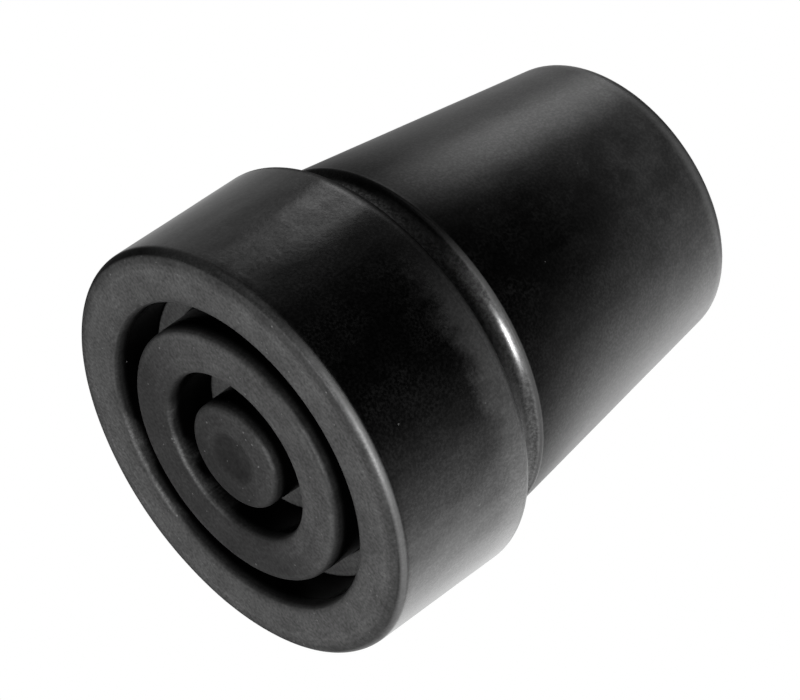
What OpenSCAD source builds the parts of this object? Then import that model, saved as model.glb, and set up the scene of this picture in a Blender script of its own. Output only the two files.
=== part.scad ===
// Rubber cane tip: one moulded ferrule with a wide ringed foot and a tapered sleeve that grips the shaft.
// It stands on its tread, with the tread on z = 0 and the socket opening upwards along +z.

/* [Foot] */
// Diameter of the foot at the tread
foot_d = 38.2; // [34:0.1:46]
// Diameter of the foot at its shoulder
foot_top_d = 38.5; // [34:0.1:46]
// Height of the foot, from the tread to the shoulder
foot_h = 15.2; // [12:0.1:20]
// Rounding of the edge around the tread
tread_edge_r = 1.1; // [0.4:0.1:2]
// Rounding of the shoulder
shoulder_r = 0.8; // [0.3:0.1:1.5]

/* [Tread] */
// Diameter of the boss at the middle of the tread
boss_d = 9.8; // [7:0.1:11]
// Inner diameter of the middle ring
ring_inner_d = 15.6; // [14:0.1:18]
// Outer diameter of the middle ring
ring_outer_d = 23.7; // [21:0.1:25]
// Inner diameter of the outer ring, which runs out to the edge of the foot
rim_inner_d = 28.6; // [27:0.1:31]
// Depth of both grooves
groove_depth = 4.8; // [2:0.1:7]
// Taper of the groove walls, in degrees
groove_draft = 2; // [0:0.5:5]
// Rounding of the ring edges
ring_edge_r = 0.6; // [0.2:0.1:1]
// Fillet along the bottom of the grooves
groove_fillet_r = 0.3; // [0.2:0.1:0.9]
// Diameter of the shallow dish in the boss
dish_d = 5; // [3:0.1:6]
// Depth of that dish
dish_depth = 0.3; // [0.1:0.05:0.8]

/* [Neck] */
// Diameter of the neck, between the shoulder and the sleeve
neck_d = 32.4; // [28:0.1:33.4]
// Height at which the sleeve begins, above the shoulder
neck_h = 3.6; // [3:0.1:6]
// Fillet where the neck meets the shoulder
neck_fillet_r = 1.2; // [0.4:0.1:1.6]
// Fillet where the neck turns out under the sleeve
lip_fillet_r = 1.5; // [0.4:0.1:1.6]
// Rounding of the lower edge of the sleeve
lip_edge_r = 0.3; // [0.2:0.05:0.6]
// Slope of the face under the sleeve, in degrees from the axis
lip_slope = 50; // [40:1:65]

/* [Sleeve] */
// Diameter of the sleeve at its lower edge
sleeve_base_d = 34; // [33.7:0.1:36]
// Diameter of the sleeve at its mouth
sleeve_top_d = 26.8; // [25.5:0.1:32]
// Height of the whole tip
total_h = 46.8; // [40:0.1:60]
// Rounding of the outer edge of the mouth
mouth_edge_r = 1.7; // [0.5:0.1:2]

/* [Socket] */
// Diameter of the socket, which takes a 19 mm shaft
socket_d = 19; // [16:0.1:20]
// Thickness of the sole under the socket
sole_t = 15; // [11:0.5:22]
// Fillet around the bottom of the socket
socket_fillet_r = 1.5; // [0.5:0.1:3]
// Chamfer that leads the shaft into the socket
lead_in = 0.8; // [0.3:0.1:1.2]

/* [Hidden] */
$fn = 96;
over = 1;
rubber = [0.09, 0.09, 0.095];
draft_in = groove_depth * tan(groove_draft);
lip_h = (sleeve_base_d - neck_d) / 2 / tan(lip_slope);

// Each point of the half section is [radius, height, rounding], in order around the rubber.
section = [
    [0, 0, 0],
    [boss_d / 2, 0, ring_edge_r],
    [boss_d / 2 + draft_in, groove_depth, groove_fillet_r],
    [ring_inner_d / 2 - draft_in, groove_depth, groove_fillet_r],
    [ring_inner_d / 2, 0, ring_edge_r],
    [ring_outer_d / 2, 0, ring_edge_r],
    [ring_outer_d / 2 + draft_in, groove_depth, groove_fillet_r],
    [rim_inner_d / 2 - draft_in, groove_depth, groove_fillet_r],
    [rim_inner_d / 2, 0, ring_edge_r],
    [foot_d / 2, 0, tread_edge_r],
    [foot_top_d / 2, foot_h, shoulder_r],
    [neck_d / 2, foot_h, neck_fillet_r],
    [neck_d / 2, foot_h + neck_h - lip_h, lip_fillet_r],
    [sleeve_base_d / 2, foot_h + neck_h, lip_edge_r],
    [sleeve_top_d / 2, total_h, mouth_edge_r],
    [0, total_h, 0]
];

function flat(p) = [p[0], p[1]];
function unit(v) = v / norm(v);
// Which side the outline turns to at b: above zero at an outward corner, below zero at an inward one.
function turn(a, b, c) = (b[0] - a[0]) * (c[1] - b[1]) - (b[1] - a[1]) * (c[0] - b[0]);
function half_angle(a, b, c) = acos(unit(a - b) * unit(c - b)) / 2;
// How much of each side at the corner b a rounding of radius r takes up.
function run(a, b, c, r) = r / tan(half_angle(a, b, c));
// Where the arc that rounds the corner at b leaves the side towards a, and where its centre lies.
function arc_end(a, b, c, r) = b + unit(a - b) * run(a, b, c, r);
function arc_centre(a, b, c, r) = b + unit(unit(a - b) + unit(c - b)) * r / sin(half_angle(a, b, c));

// The points of the section without their roundings, and how far each rounding reaches along its sides.
points = [for (p = section) flat(p)];
last = len(section) - 1;
runs = [for (i = [0 : last]) section[i][2] == 0 ? 0
    : run(points[i - 1], points[i], points[i + 1], section[i][2])];
// The share of their full radius that the roundings at both ends of side i have room for.
function room(i) = min(1, norm(points[i + 1] - points[i]) * 0.98 / max(runs[i] + runs[i + 1], 0.001));

// The corners of the section with their neighbours on both sides, as [before, corner, after, rounding].
// A rounding that is too large for the sides beside it shrinks until it fits.
corners = [for (i = [1 : last - 1])
    [points[i - 1], points[i], points[i + 1], section[i][2] * min(room(i - 1), room(i))]];

// An outward corner stays sharp here, and an inward one is filled up to the centre of its fillet.
function corner_points(a, b, c, r) =
    turn(a, b, c) > 0 ? [b] : [arc_end(a, b, c, r), arc_centre(a, b, c, r), arc_end(c, b, a, r)];

// What an outward corner at b loses when it is rounded.
module corner_tip(a, b, c, r) {
    centre = arc_centre(a, b, c, r);
    difference() {
        polygon([arc_end(a, b, c, r), b + (b - centre) * 0.2, arc_end(c, b, a, r), centre]);
        translate(centre) circle(r);
    }
}

// Half section of the rubber, before the socket is taken out of it.
module rubber_section() {
    difference() {
        polygon([points[0], for (k = corners) each corner_points(k[0], k[1], k[2], k[3]), points[last]]);
        for (k = corners) {
            if (turn(k[0], k[1], k[2]) > 0) corner_tip(k[0], k[1], k[2], k[3]);
            else translate(arc_centre(k[0], k[1], k[2], k[3])) circle(k[3]);
        }
    }
}

// Straight blind hole for the shaft, with a round-cornered bottom and a chamfered mouth.
module socket() {
    socket_r = socket_d / 2;
    depth = total_h - sole_t;
    translate([0, 0, sole_t + socket_fillet_r]) cylinder(h = depth - socket_fillet_r + over, r = socket_r);
    translate([0, 0, total_h - lead_in]) cylinder(h = lead_in + over, r1 = socket_r, r2 = socket_r + lead_in + over);
    translate([0, 0, sole_t]) rotate_extrude() {
        square([socket_r - socket_fillet_r, socket_fillet_r + over]);
        intersection() {
            translate([socket_r - socket_fillet_r, socket_fillet_r]) circle(socket_fillet_r);
            square([socket_r, socket_fillet_r + over]);
        }
    }
}

// Shallow spherical dish in the face of the boss.
module dish() {
    dish_r = dish_d / 2;
    ball_r = (dish_r * dish_r + dish_depth * dish_depth) / (2 * dish_depth);
    translate([0, 0, dish_depth - ball_r]) sphere(ball_r);
}

module cane_tip() {
    color(rubber) difference() {
        rotate_extrude() rubber_section();
        socket();
        dish();
    }
}

cane_tip();
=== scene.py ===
import math

import bmesh
import bpy
from mathutils import Matrix, Vector


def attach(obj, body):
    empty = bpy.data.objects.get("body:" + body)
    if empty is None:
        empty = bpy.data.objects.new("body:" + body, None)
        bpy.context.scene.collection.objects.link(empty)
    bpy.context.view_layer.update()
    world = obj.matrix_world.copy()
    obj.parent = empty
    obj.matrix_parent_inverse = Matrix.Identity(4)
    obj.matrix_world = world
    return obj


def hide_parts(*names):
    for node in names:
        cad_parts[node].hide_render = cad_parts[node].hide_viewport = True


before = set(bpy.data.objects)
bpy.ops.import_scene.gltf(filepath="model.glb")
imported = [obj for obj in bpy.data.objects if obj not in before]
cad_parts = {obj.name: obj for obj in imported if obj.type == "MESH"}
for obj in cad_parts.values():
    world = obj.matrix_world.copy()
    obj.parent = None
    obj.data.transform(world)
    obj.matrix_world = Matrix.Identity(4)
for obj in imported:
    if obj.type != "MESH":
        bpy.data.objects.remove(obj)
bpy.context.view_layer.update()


# ---- Camera ----
# The tip is looked at from below its tread and turned over to one side, so that the rings of the tread
# face the viewer and the sleeve runs away to the upper right.

MM = 0.001
VIEW_ELEVATION = -32.03
VIEW_ROLL = 55.35
VIEW_DISTANCE = 279.7 * MM
LENS = 148.5
AIM = Vector((0.48 * MM, 0, 19.2 * MM))

camera_data = bpy.data.cameras.new("camera")
camera_data.lens = LENS
camera_data.clip_start = 10 * MM
camera = bpy.data.objects.new("camera", camera_data)
tilt = Matrix.Rotation(math.radians(90 - VIEW_ELEVATION), 4, "X")
roll = Matrix.Rotation(math.radians(VIEW_ROLL), 4, "Z")
away = Matrix.Translation((0, 0, VIEW_DISTANCE))
camera.matrix_world = Matrix.Translation(AIM) @ tilt @ roll @ away
bpy.context.scene.collection.objects.link(camera)
bpy.context.scene.camera = camera


# ---- Rubber tip ----
# One moulding of black rubber from a turned mould, so all of it is round about the shaft's axis: the
# ringed tread, the foot, the neck, the sleeve and the blind socket. The mould left it very slightly uneven.

STEPS_AROUND = 256
LONGEST_STEP = 0.56 * MM
SHORTEST_STEP = 0.03 * MM
SAME_POINT = 0.001 * MM

# Distances from the axis of the edges on the tread, from the dish in the boss out to the foot's own edge.
DISH_EDGE = 2.5 * MM
BOSS_EDGE = 4.9 * MM
RING_INNER = 7.8 * MM
RING_OUTER = 11.85 * MM
RIM_INNER = 14.3 * MM
FOOT_EDGE = 19.1 * MM

# Heights above the tread of the groove floors, the foot's shoulder, the sleeve's lower edge and its mouth.
GROOVE_DEPTH = 4.8 * MM
SHOULDER = 15.2 * MM
SLEEVE = 18.8 * MM
MOUTH = 46.8 * MM

# Tones, where 0 is black and 1 is white. The mouth's rim, the shoulder band, the neck and sleeve-edge grey,
# the groove scuffs and the base wear carry painted highlights and shade.
RUBBER_BLACK = 0.0004
MOTTLE_GREY = 0.0065
SLEEVE_BLOOM = 0.058
MOUTH_RIM_HIGHLIGHT = 0.07
SHOULDER_BLOOM_AND_LIGHT = 0.055
NECK_DUST_AND_LIGHT = 0.05
SLEEVE_EDGE_DUST_AND_HIGHLIGHT = 0.065
INNER_SCUFFS_AND_LIGHT = 0.05
OUTER_SCUFFS_AND_LIGHT = 0.065
BASE_WEAR_AND_HIGHLIGHT = 0.068
TREAD_GREY = 0.037
TREAD_SPECKS = 0.065
SIDE_SPECKS = 0.06


def half_section(node):
    """The node's outline on the positive side of the XZ plane, from the tread's centre to the socket's."""
    cut = bmesh.new()
    cut.from_mesh(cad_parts[node].data)
    bmesh.ops.remove_doubles(cut, verts=cut.verts, dist=SAME_POINT)
    for plane in ((1, 0, 0), (0, 1, 0)):
        whole = list(cut.verts) + list(cut.edges) + list(cut.faces)
        found = bmesh.ops.bisect_plane(
            cut, geom=whole, dist=SAME_POINT / 10, plane_co=(0, 0, 0), plane_no=plane
        )
    edges = {e for e in found["geom_cut"] if isinstance(e, bmesh.types.BMEdge)}
    edges = {e for e in edges if min(v.co.x for v in e.verts) > -SAME_POINT}
    here = min((v for e in edges for v in e.verts if v.co.x < SAME_POINT), key=lambda v: v.co.z)
    points = [here.co.copy()]
    while True:
        onward = [e for e in here.link_edges if e in edges]
        if not onward:
            break
        edges.remove(onward[0])
        here = onward[0].other_vert(here)
        points.append(here.co.copy())
    cut.free()
    return points


def even_steps(points):
    """The same outline with its long straight runs divided and its crowded points thinned."""
    steps = [points[0]]
    for point in points[1:]:
        length = (point - steps[-1]).length
        if length < SHORTEST_STEP and point is not points[-1]:
            continue
        parts = max(1, math.ceil(length / LONGEST_STEP))
        steps += [steps[-1].lerp(point, k / parts) for k in range(1, parts + 1)]
    return steps


def add(tree, kind, inputs=None, **settings):
    """A new node of the tree. Each of its inputs is a value, or the output of another node."""
    new = tree.nodes.new(kind)
    for name, value in settings.items():
        setattr(new, name, value)
    for name, value in (inputs or {}).items():
        if isinstance(value, bpy.types.NodeSocket):
            tree.links.new(value, new.inputs[name])
        else:
            new.inputs[name].default_value = value
    return new


def tree_of(*values):
    """The tree of the first value that is the output of a node."""
    return next(value.id_data for value in values if isinstance(value, bpy.types.NodeSocket))


def arithmetic(operation, a, b=0.0):
    """One step of arithmetic on outputs or numbers."""
    return add(tree_of(a, b), "ShaderNodeMath", {0: a, 1: b}, operation=operation).outputs[0]


def vector(operation, a, b=(0, 0, 0)):
    """One step of arithmetic on vectors. A length or a dot product comes out as a number."""
    new = add(tree_of(a, b), "ShaderNodeVectorMath", {0: a, 1: b}, operation=operation)
    return new.outputs["Value" if operation in ("LENGTH", "DOT_PRODUCT") else "Vector"]


def turned_section(section, steps_around):
    """The section turned about Z in that many steps: a grid that is bent round and closed at its seam."""
    tree = tree_of(section)
    rows = add(tree, "GeometryNodeAttributeDomainSize", {"Geometry": section}, component="MESH")
    columns = arithmetic("ADD", steps_around, 1)
    counts = {"Vertices X": rows.outputs["Point Count"], "Vertices Y": columns}
    grid = add(tree, "GeometryNodeMeshGrid", counts).outputs["Mesh"]

    index = add(tree, "GeometryNodeInputIndex").outputs["Index"]
    along = arithmetic("FLOOR", arithmetic("DIVIDE", arithmetic("ADD", index, 0.5), columns))
    around = arithmetic("SUBTRACT", index, arithmetic("MULTIPLY", along, columns))
    angle = arithmetic("MULTIPLY", arithmetic("DIVIDE", around, steps_around), -2 * math.pi)

    position = add(tree, "GeometryNodeInputPosition").outputs[0]
    wanted = {"Geometry": section, "Value": position, "Index": along}
    sample = add(tree, "GeometryNodeSampleIndex", wanted, data_type="FLOAT_VECTOR", domain="POINT")
    point = add(tree, "ShaderNodeSeparateXYZ", {0: sample.outputs["Value"]}).outputs
    x = arithmetic("MULTIPLY", point["X"], arithmetic("COSINE", angle))
    y = arithmetic("MULTIPLY", point["X"], arithmetic("SINE", angle))
    place = add(tree, "ShaderNodeCombineXYZ", {"X": x, "Y": y, "Z": point["Z"]}).outputs[0]
    bent = add(tree, "GeometryNodeSetPosition", {"Geometry": grid, "Position": place}).outputs[0]
    seam = {"Geometry": bent, "Distance": SAME_POINT}
    return add(tree, "GeometryNodeMergeByDistance", seam).outputs[0]


def unevenness(size, height, seed):
    """How far lumps of that size and height push the surface out or in."""
    inputs = {"Scale": arithmetic("DIVIDE", 1.0, size), "W": seed, "Detail": 1.0}
    lumps = add(tree_of(size), "ShaderNodeTexNoise", inputs, noise_dimensions="4D").outputs[0]
    return arithmetic("MULTIPLY", arithmetic("SUBTRACT", lumps, 0.5), height)


def turning_nodes():
    """Nodes that turn a half section about Z, and push the surface in and out a little."""
    tree = bpy.data.node_groups.new("turned_rubber", "GeometryNodeTree")
    for name, kind, value in (
        ("Section", "NodeSocketGeometry", None),
        ("Steps Around", "NodeSocketInt", STEPS_AROUND),
        ("Lump Size", "NodeSocketFloat", 7 * MM),
        ("Lump Height", "NodeSocketFloat", 0.03 * MM),
        ("Grain Size", "NodeSocketFloat", 1.3 * MM),
        ("Grain Height", "NodeSocketFloat", 0.012 * MM),
        ("Lump Seed", "NodeSocketFloat", 4.0),
        ("Grain Seed", "NodeSocketFloat", 14.0),
        ("Material", "NodeSocketMaterial", None),
    ):
        socket = tree.interface.new_socket(name, in_out="INPUT", socket_type=kind)
        if value is not None:
            socket.default_value = value
    tree.interface.new_socket("Rubber", in_out="OUTPUT", socket_type="NodeSocketGeometry")

    given = add(tree, "NodeGroupInput").outputs
    closed = turned_section(given["Section"], given["Steps Around"])
    lumps = unevenness(given["Lump Size"], given["Lump Height"], given["Lump Seed"])
    grain = unevenness(given["Grain Size"], given["Grain Height"], given["Grain Seed"])
    lift = arithmetic("ADD", lumps, grain)
    normal = add(tree, "GeometryNodeInputNormal").outputs[0]
    push = add(tree, "ShaderNodeVectorMath", {0: normal, "Scale": lift}, operation="SCALE").outputs[0]
    pushed = add(tree, "GeometryNodeSetPosition", {"Geometry": closed, "Offset": push}).outputs[0]
    smooth = add(tree, "GeometryNodeSetShadeSmooth", {"Geometry": pushed}).outputs[0]
    real = add(tree, "GeometryNodeRealizeInstances", {"Geometry": smooth}).outputs[0]
    rubber = add(tree, "GeometryNodeSetMaterial", {"Geometry": real, "Material": given["Material"]})
    add(tree, "NodeGroupOutput", {"Rubber": rubber.outputs[0]})
    return tree


def product(*factors):
    """All the factors multiplied."""
    result = factors[0]
    for factor in factors[1:]:
        result = arithmetic("MULTIPLY", result, factor)
    return result


def total(*parts):
    """All the parts added up."""
    result = parts[0]
    for part in parts[1:]:
        result = arithmetic("ADD", result, part)
    return result


def mix(share, a, b):
    """A blend of a and b: a where the share is 0, and b where it is 1."""
    return add(tree_of(share), "ShaderNodeMix", {0: share, 2: a, 3: b}).outputs[0]


def ramp(value, low, high, out_low=0.0, out_high=1.0):
    """A soft change from one output to the other as the value goes from low to high."""
    inputs = {"Value": value, "From Min": low, "From Max": high, "To Min": out_low, "To Max": out_high}
    return add(tree_of(value), "ShaderNodeMapRange", inputs, interpolation_type="SMOOTHSTEP").outputs[0]


def noise(where, size, detail=2.0, roughness=0.5):
    """Noise about 0.5, with lumps of that size."""
    inputs = {"Vector": where, "Scale": 1 / size, "Detail": detail, "Roughness": roughness}
    return add(tree_of(where), "ShaderNodeTexNoise", inputs).outputs[0]


def specks(where, cell, chosen, reach):
    """1 inside small round specks: one in each of the chosen cells, up to that share of a cell in radius."""
    tree = tree_of(where)
    cells = add(tree, "ShaderNodeTexVoronoi", {"Vector": where, "Scale": 1 / cell})
    pick = add(tree, "ShaderNodeSeparateColor", {0: cells.outputs["Color"]}).outputs[0]
    return arithmetic("LESS_THAN", cells.outputs["Distance"], ramp(pick, 1 - chosen, 1.0, 0.0, reach))


class Skin:
    """What tone, gloss and relief read at a point: its place, its part, its wear, its lit sides and its
    patterns.
    """

    def __init__(self, tree):
        coordinates = add(tree, "ShaderNodeTexCoord").outputs
        self.where = coordinates["Object"]
        place = add(tree, "ShaderNodeSeparateXYZ", {0: self.where}).outputs
        self.side = place["X"]
        self.back = place["Y"]
        self.height = place["Z"]
        across = vector("MULTIPLY", self.where, (1, 1, 0))
        self.radius = vector("LENGTH", across)
        self.outward = vector("NORMALIZE", across)
        self.find_parts()
        self.find_wear_and_lit_sides(add(tree, "ShaderNodeSeparateXYZ", {0: coordinates["Normal"]}).outputs["Z"])

        self.patches = ramp(noise(self.where, 3.5 * MM, 4.0, 0.6), 0.32, 0.72)
        self.mottle = ramp(noise(self.where, 0.24 * MM, 3.0, 0.6), 0.36, 0.72)
        grain = mix(noise(self.where, 0.3 * MM), 0.2, 1.8)
        self.grain = product(grain, mix(noise(self.where, 2.6 * MM, 3.0), 0.5, 1.5))
        drawn_out = vector("MULTIPLY", self.where, (1, 1, 0.3))
        self.smears = ramp(noise(drawn_out, 2.0 * MM, 4.0, 0.6), 0.3, 0.7)

    def find_parts(self):
        """Where on the tip: each is 1 on its part and 0 elsewhere."""
        height = self.height
        self.foot = ramp(height, SHOULDER + 0.1 * MM, SHOULDER)
        up_to_floors = ramp(height, GROOVE_DEPTH + 1.2 * MM, GROOVE_DEPTH + 0.2 * MM)
        within_rim = ramp(self.radius, FOOT_EDGE - 1.1 * MM, FOOT_EDGE - 2.1 * MM)
        self.in_grooves = product(up_to_floors, within_rim)
        self.off_grooves = mix(self.in_grooves, 1.0, 0.0)
        below_sleeve = ramp(height, SLEEVE - 0.05 * MM, SLEEVE - 0.2 * MM)
        self.neck = product(ramp(height, SHOULDER, SHOULDER + 0.1 * MM), below_sleeve)
        self.neck_wall = product(self.neck, ramp(height, SHOULDER + 1.2 * MM, SHOULDER + 1.6 * MM))
        self.by_sleeve = ramp(height, SLEEVE - 1.1 * MM, SLEEVE - 0.5 * MM)
        self.base_edge = product(ramp(height, 1.2 * MM, 0.7 * MM), self.off_grooves)

    def find_wear_and_lit_sides(self, facing):
        """Where it is worn, all over the tread; which side of the foot, shoulder and neck faces the lamps,
        for painted light; and the shoulder's edge.
        """
        worn_edge = mix(self.base_edge, -0.65, -0.75)
        on_tread = ramp(self.height, GROOVE_DEPTH + 2.2 * MM, GROOVE_DEPTH + 1.2 * MM)
        self.worn = product(ramp(facing, worn_edge, -0.93), on_tread)
        # Painted light: the side of the foot, shoulder and neck toward the lamps, and the base toward the low
        # front lamp.
        self.lit_side = ramp(self.side, -7 * MM, 8 * MM, 0.08, 1.0)
        self.lamp_side_of_base = vector("DOT_PRODUCT", self.outward, (0.5, -0.87, 0))
        edge = product(ramp(self.height, SHOULDER - 1.1 * MM, SHOULDER - 0.5 * MM), self.foot)
        self.shoulder_edge = product(edge, ramp(self.side, 10 * MM, 3 * MM, 0.35, 1.0))


def grey_haze_and_painted_light(skin):
    """A grey haze towards the mouth, a painted highlight on the mouth's rim, and a grey band by the shoulder,
    ragged on the foot and kept to the lit side as painted light.
    """
    to_mouth = product(ramp(skin.height, 27 * MM, MOUTH + 1.2 * MM), mix(skin.patches, 0.5, 1.0))
    sleeve = product(to_mouth, mix(skin.mottle, 0.8, 1.1), SLEEVE_BLOOM)
    # Painted highlight: a light band over the mouth's rounded rim.
    mouth = product(ramp(skin.height, MOUTH - 2.2 * MM, MOUTH - 1.2 * MM), MOUTH_RIM_HIGHLIGHT)
    ragged = total(skin.height, product(noise(skin.where, 1.8 * MM, 6.0, 0.72), 5 * MM))
    by_shoulder = ramp(ragged, SHOULDER - 2.0 * MM, SHOULDER + 1.4 * MM)
    # Painted light: the band by the shoulder only on the side toward the lamps.
    shoulder = product(by_shoulder, skin.foot, skin.lit_side)
    return total(sleeve, mouth, product(shoulder, mix(skin.mottle, 0.7, 1.0), SHOULDER_BLOOM_AND_LIGHT))


def neck_dust_and_painted_light(skin):
    """Dust in the neck and on the sleeve's lower edge, with painted shade on the far side of the lip, painted
    highlight beside the lamp's streak and painted reflection on the far wall.
    """
    side = skin.side
    # Painted shade: the share out of the shade on the lip's far side.
    unshaded_share = ramp(side, -6 * MM, 0.5 * MM)
    # Under the lip: darkened on the far side as painted shade, lightened on the lit side beside the lamp's
    # streak as painted highlight.
    by_sleeve = product(
        mix(unshaded_share, 0.02, 1.0),
        ramp(side, -2 * MM, 6 * MM, 1.0, 2.0),
        ramp(side, 4 * MM, 13 * MM, 1.0, 1.5),
        NECK_DUST_AND_LIGHT,
    )
    # Painted reflection: more grey on the neck's far wall.
    on_wall = ramp(side, -14 * MM, -6 * MM, 0.15, 0.06)
    in_neck = product(
        skin.neck,
        ramp(skin.height, SHOULDER + 0.7 * MM, SHOULDER + 1.3 * MM),
        ramp(side, -2 * MM, 6 * MM, 1.0, 0.5),
        mix(skin.by_sleeve, on_wall, by_sleeve),
        ramp(noise(skin.where, 0.3 * MM, 3.0, 0.7), 0.35, 0.7, 0.3, 1.1),
    )
    # Along the sleeve's lower edge: dust, and a painted highlight of its rounded edge, faded as painted shade
    # on the far side.
    edge_start = ramp(skin.height, SLEEVE - 0.3 * MM, SLEEVE - 0.1 * MM)
    edge_end = ramp(skin.height, SLEEVE + 0.3 * MM, SLEEVE + 0.15 * MM)
    return total(in_neck, product(edge_start, edge_end, mix(unshaded_share, 0.1, 1.0), SLEEVE_EDGE_DUST_AND_HIGHLIGHT))


def groove_scuffs_and_light(skin):
    """Short streaks, here and there, up the walls of the grooves from the edges of the rings, only on the far
    walls that face the low front lamp: scuffs, and painted light on those walls.
    """
    outer_groove = ramp(skin.radius, RING_OUTER - 1.85 * MM, RING_OUTER - 0.85 * MM)
    # Painted light: only the far walls, which face the low front lamp, get the streaks.
    lit_far_side = vector("DOT_PRODUCT", skin.outward, (-0.26, 0.966, 0))
    on_side = ramp(lit_far_side, mix(outer_groove, 0.65, 0.90), mix(outer_groove, 0.9, 0.98))
    here = product(on_side, ramp(noise(skin.where, 3 * MM), 0.35, 0.6, 0.4, 1.0))
    deepest = mix(outer_groove, 2.6 * MM, 1.6 * MM)
    depth = ramp(noise(skin.where, 5 * MM, 1.0), 0.35, 0.7, 0.4 * MM, deepest)
    near_edge = ramp(arithmetic("DIVIDE", skin.height, depth), 1.0, 0.2)
    up_the_wall = vector("MULTIPLY", skin.outward, (12 * MM, 12 * MM, 0))
    streaks = ramp(noise(up_the_wall, 0.3 * MM, 3.0, 0.6), 0.35, 0.75)
    streaks = mix(streaks, mix(outer_groove, 0.25, 0.6), 1.0)
    strength = mix(outer_groove, INNER_SCUFFS_AND_LIGHT, OUTER_SCUFFS_AND_LIGHT)
    return product(streaks, mix(skin.mottle, 0.4, 1.0), near_edge, here, skin.in_grooves, strength)


def base_wear_and_highlight(skin):
    """A grey band along the lower edge of the foot, on the side toward the low front lamp: wear, and a
    painted highlight that widens the lamp's reflection there.
    """
    band = product(ramp(skin.height, 0.2 * MM, 0.5 * MM), ramp(skin.height, 0.95 * MM, 0.7 * MM))
    # Painted highlight: the band is centred where the low front lamp's reflection falls.
    toward_lamp = ramp(skin.lamp_side_of_base, 0.6, 0.97)
    return product(band, skin.off_grooves, toward_lamp, mix(skin.grain, 0.6, 1.0), BASE_WEAR_AND_HIGHLIGHT)


def side_tone(skin):
    """Black, with a fine grey mottle that comes and goes, plus haze, dust, scuffs and wear, some of it
    painted light and shade.
    """
    mottle = product(skin.mottle, mix(skin.patches, 0.2, 1.0), skin.off_grooves, MOTTLE_GREY)
    return total(mottle, grey_haze_and_painted_light(skin), neck_dust_and_painted_light(skin), groove_scuffs_and_light(skin), base_wear_and_highlight(skin), RUBBER_BLACK)


def tread_tone(skin):
    """Worn grey, darker towards the boss and its dish and on one side, with painted shade by the foot's edge
    and faint marks round the axis.
    """
    boss = ramp(skin.radius, DISH_EDGE - 0.7 * MM, DISH_EDGE + 0.2 * MM, 0.20, 0.40)
    ring = ramp(skin.radius, BOSS_EDGE + 0.6 * MM, RING_INNER - 0.3 * MM, 1.0, 1.45)
    one_side = ramp(skin.back, 5 * MM, -5 * MM, 0.65, 1.4)
    rim = ramp(skin.radius, RIM_INNER - 0.3 * MM, RIM_INNER + 2.7 * MM, 0.8, 1.0)
    # Painted shade: the flats darken where the foot's edge starts to round over.
    rim_edge_shade = ramp(skin.radius, FOOT_EDGE - 1.8 * MM, FOOT_EDGE - 0.6 * MM, 1.0, 0.6)
    on_rim = ramp(skin.radius, RING_OUTER - 0.05 * MM, RIM_INNER + 0.1 * MM)
    flats = mix(on_rim, product(boss, ring, one_side), product(rim, rim_edge_shade))
    groove_floor = ramp(skin.height, GROOVE_DEPTH - 1.8 * MM, GROOVE_DEPTH - 0.8 * MM)
    profile = {"X": skin.radius, "Z": skin.height}
    about_axis = add(tree_of(skin.radius), "ShaderNodeCombineXYZ", profile).outputs[0]
    turned_marks = mix(noise(about_axis, 0.5 * MM), 0.65, 1.35)
    return product(mix(groove_floor, flats, 1.1), turned_marks, skin.grain, TREAD_GREY)


def dust(skin):
    """Pale specks, many on the tread and few on the sides."""
    on_tread = product(specks(skin.where, 0.6 * MM, 0.45, 0.16), skin.worn, TREAD_SPECKS)
    on_sides = product(specks(skin.where, 1.3 * MM, 0.2, 0.07), SIDE_SPECKS)
    return arithmetic("MAXIMUM", on_tread, on_sides)


def roughness(skin):
    """Smooth as it left the mould and smeared up and down, duller at the edges, and dull on the tread."""
    foot = mix(skin.smears, 0.18, 0.22)
    sleeve = mix(skin.smears, 0.32, 0.38)
    as_moulded = mix(ramp(skin.height, SHOULDER - 0.2 * MM, SLEEVE + 1.2 * MM), foot, sleeve)
    sides = mix(skin.neck, as_moulded, mix(skin.neck_wall, 0.5, 0.28))
    sides = mix(skin.shoulder_edge, sides, 0.6)
    ring_edge = product(skin.in_grooves, ramp(skin.height, 1.6 * MM, 0.6 * MM))
    return mix(skin.worn, mix(skin.base_edge, mix(ring_edge, sides, 0.62), 0.45), 0.85)


def sheen(skin):
    """How strongly it reflects: most on the foot, near the mouth and on the neck's side toward the lamps."""
    height = skin.height
    off_edge = ramp(height, SLEEVE + 0.15 * MM, SLEEVE + 0.5 * MM)
    sleeve = mix(off_edge, 0.1, ramp(height, 17 * MM, 33 * MM, 0.05, 0.5))
    lit_side_neck_sheen = product(skin.lit_side, mix(skin.by_sleeve, 0.5, 0.8))
    over_foot = mix(skin.neck, sleeve, mix(skin.neck_wall, 0.0, lit_side_neck_sheen))
    shoulder = ramp(height, SHOULDER - 0.45 * MM, SHOULDER - 0.25 * MM, 0.1, 0.0)
    sides = mix(skin.foot, over_foot, mix(skin.shoulder_edge, 0.5, shoulder))
    smeared = product(sides, mix(skin.smears, 0.8, 1.15), mix(skin.mottle, 0.75, 1.15))
    down_groove = product(skin.in_grooves, ramp(height, 0.6 * MM, 1.4 * MM))
    base_away_from_lamp = product(skin.base_edge, ramp(skin.lamp_side_of_base, 0.2, -0.2))
    return mix(skin.worn, mix(base_away_from_lamp, mix(down_groove, smeared, 0.02), 0.02), 0.08)


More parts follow.
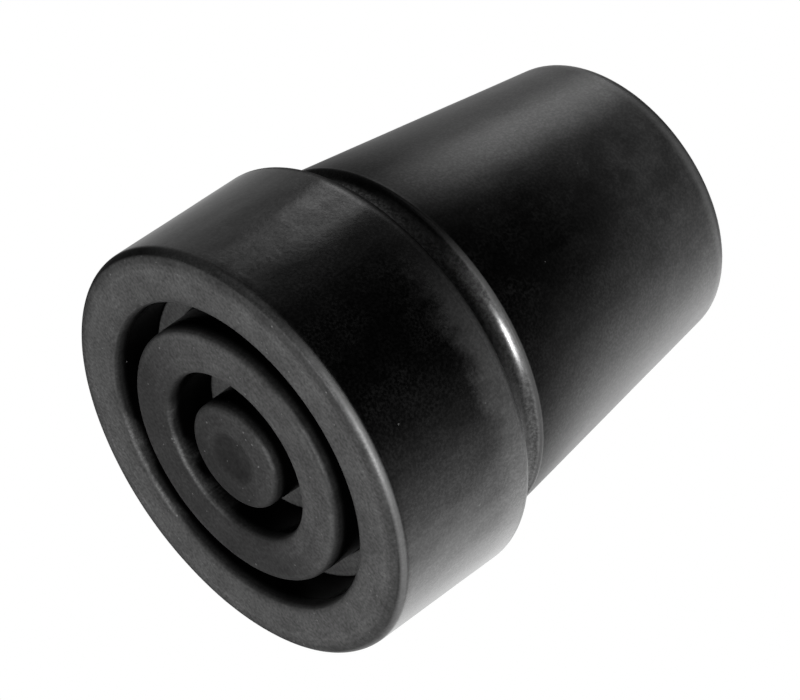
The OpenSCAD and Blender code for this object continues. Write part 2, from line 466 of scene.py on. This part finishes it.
def relief(skin):
    """A fine grain, and slight waves that make the edges of the highlights uneven."""
    waves = product(noise(skin.where, 2.5 * MM, 3.0), mix(skin.neck, 0.02 * MM, 0.0))
    grain = product(noise(skin.where, 0.35 * MM), mix(skin.neck, 0.004 * MM, 0.003 * MM))
    bumps = {"Height": total(waves, grain), "Distance": 1.0, "Strength": 1.0}
    return add(tree_of(waves), "ShaderNodeBump", bumps).outputs[0]


def black_rubber():
    """Black rubber: glossy from the mould on the sides, worn grey and dull on the tread, and dusty, with
    painted highlights and shade in its tone.
    """
    material = bpy.data.materials.new("black_rubber")
    material.use_nodes = True
    tree = material.node_tree
    skin = Skin(tree)
    tone = arithmetic("MAXIMUM", mix(skin.worn, side_tone(skin), tread_tone(skin)), dust(skin))
    grey = add(tree, "ShaderNodeCombineColor", {0: tone, 1: tone, 2: tone}).outputs[0]
    for name, value in (
        ("Base Color", grey),
        ("Roughness", roughness(skin)),
        ("Specular IOR Level", sheen(skin)),
        ("Normal", relief(skin)),
    ):
        tree.links.new(value, tree.nodes["Principled BSDF"].inputs[name])
    return material


section_points = even_steps(half_section("cane_tip"))
section_mesh = bpy.data.meshes.new("half_section")
section_mesh.from_pydata(section_points, [(k, k + 1) for k in range(len(section_points) - 1)], [])
section = bpy.data.objects.new("half_section", section_mesh)
bpy.context.scene.collection.objects.link(section)

turning = section.modifiers.new("turning", "NODES")
turning.node_group = turning_nodes()
sockets = {item.name: item.identifier for item in turning.node_group.interface.items_tree}
turning[sockets["Material"]] = black_rubber()
evaluated = section.evaluated_get(bpy.context.evaluated_depsgraph_get())
tip = bpy.data.objects.new("rubber_tip", bpy.data.meshes.new_from_object(evaluated))
bpy.context.scene.collection.objects.link(tip)
bpy.data.objects.remove(section)

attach(tip, "root")
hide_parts("cane_tip")


# ---- Floor ----
# A sheet of white paper just under the tread. It shows only from above, so that the view from below looks
# through it, it glows a little, and far from the tip it fades into the white backdrop.

FLOOR_GAP = 0.1 * MM
FLOOR_WIDTH = 4.0
FADE_START = 0.12
FADE_END = 0.9
PAPER = (0.9, 0.9, 0.9, 1)
GLOW = 0.26


def pale_floor():
    """Matt paper to the camera from above, and nothing to the camera from below or to any other ray."""
    material = bpy.data.materials.new("pale_floor")
    material.use_nodes = True
    tree = material.node_tree
    tree.nodes.clear()
    from_tip = vector("LENGTH", add(tree, "ShaderNodeTexCoord").outputs["Object"])
    fade = add(tree, "ShaderNodeMapRange", {"Value": from_tip, "From Min": FADE_START, "From Max": FADE_END})
    paper = add(tree, "ShaderNodeBsdfDiffuse", {"Color": PAPER})
    glow = add(tree, "ShaderNodeEmission", {"Strength": GLOW})
    near = add(tree, "ShaderNodeAddShader", {0: paper.outputs[0], 1: glow.outputs[0]})
    far = add(tree, "ShaderNodeEmission")
    sheet = add(tree, "ShaderNodeMixShader", {0: fade.outputs[0], 1: near.outputs[0], 2: far.outputs[0]})

    by_camera = add(tree, "ShaderNodeLightPath").outputs["Is Camera Ray"]
    from_below = add(tree, "ShaderNodeNewGeometry").outputs["Backfacing"]
    seen = add(tree, "ShaderNodeMath", {0: by_camera, 1: from_below}, operation="SUBTRACT", use_clamp=True)
    nothing = add(tree, "ShaderNodeBsdfTransparent")
    shown = add(tree, "ShaderNodeMixShader", {0: seen.outputs[0], 1: nothing.outputs[0], 2: sheet.outputs[0]})
    add(tree, "ShaderNodeOutputMaterial", {"Surface": shown.outputs[0]})
    return material


half = FLOOR_WIDTH / 2
corners = [(x, y, -FLOOR_GAP) for x, y in ((-half, -half), (half, -half), (half, half), (-half, half))]
floor_mesh = bpy.data.meshes.new("floor")
floor_mesh.from_pydata(corners, [], [(0, 1, 2, 3)])
floor_mesh.materials.append(pale_floor())
floor = bpy.data.objects.new("floor", floor_mesh)
bpy.context.scene.collection.objects.link(floor)


# ---- Light ----
# Four soft boxes around the tip: under the tread, low on the viewer's side, low at the left, and over the
# shoulder. The room is dark, with three pale walls behind the tip, and the camera sees a white backdrop.

WHITE = (1, 1, 1, 1)
ROOM_TONE = 0.004


def soft_box(name, direction, distance, width, watts):
    """A square lamp so far from the middle of the tip, in that direction, and turned to it."""
    lamp = bpy.data.lights.new(name, "AREA")
    lamp.shape = "SQUARE"
    lamp.size = width
    lamp.energy = watts
    box = bpy.data.objects.new(name, lamp)
    towards = Vector(direction).normalized()
    box.location = AIM + towards * distance
    box.rotation_euler = towards.to_track_quat("Z", "Y").to_euler()
    box.visible_camera = False
    bpy.context.scene.collection.objects.link(box)


soft_box("under_tread", (0.0, 0.0, -1.0), 0.7, 0.2, 5.0)
soft_box("low_front", (0.444, -0.608, -0.659), 0.6, 0.15, 4.6)
soft_box("low_left", (-0.8, -0.5, -0.33), 0.6, 0.4, 0.5)
soft_box("over_shoulder", (-0.726, -0.089, 0.682), 0.6, 0.26, 0.48)


def pale_room():
    """A dark room with three pale walls, each brightest in one direction, and a white backdrop."""
    world = bpy.data.worlds.new("pale_room")
    world.use_nodes = True
    tree = world.node_tree
    tree.nodes.clear()
    towards = add(tree, "ShaderNodeTexCoord").outputs["Generated"]
    light = ROOM_TONE
    for direction, strength, narrowness in (
        ((0.68, 0.39, 0.62), 2.0, 3.0),
        ((-0.68, 0.39, 0.62), 0.42, 3.0),
        ((0.0, 0.85, -0.53), 0.5, 2.0),
    ):
        facing = vector("DOT_PRODUCT", towards, Vector(direction).normalized())
        wall = arithmetic("POWER", arithmetic("MAXIMUM", facing, 0.0), narrowness)
        light = total(product(wall, strength), light)
    upward = add(tree, "ShaderNodeSeparateXYZ", {0: towards}).outputs["Z"]
    below_ceiling = ramp(upward, 0.9, 0.7)
    lit = add(tree, "ShaderNodeBackground", {"Color": WHITE, "Strength": product(light, below_ceiling)})
    backdrop = add(tree, "ShaderNodeBackground", {"Color": WHITE})
    by_camera = add(tree, "ShaderNodeLightPath").outputs["Is Camera Ray"]
    either = add(tree, "ShaderNodeMixShader", {0: by_camera, 1: lit.outputs[0], 2: backdrop.outputs[0]})
    add(tree, "ShaderNodeOutputWorld", {"Surface": either.outputs[0]})
    return world


bpy.context.scene.world = pale_room()
bpy.context.scene.view_settings.view_transform = "Standard"
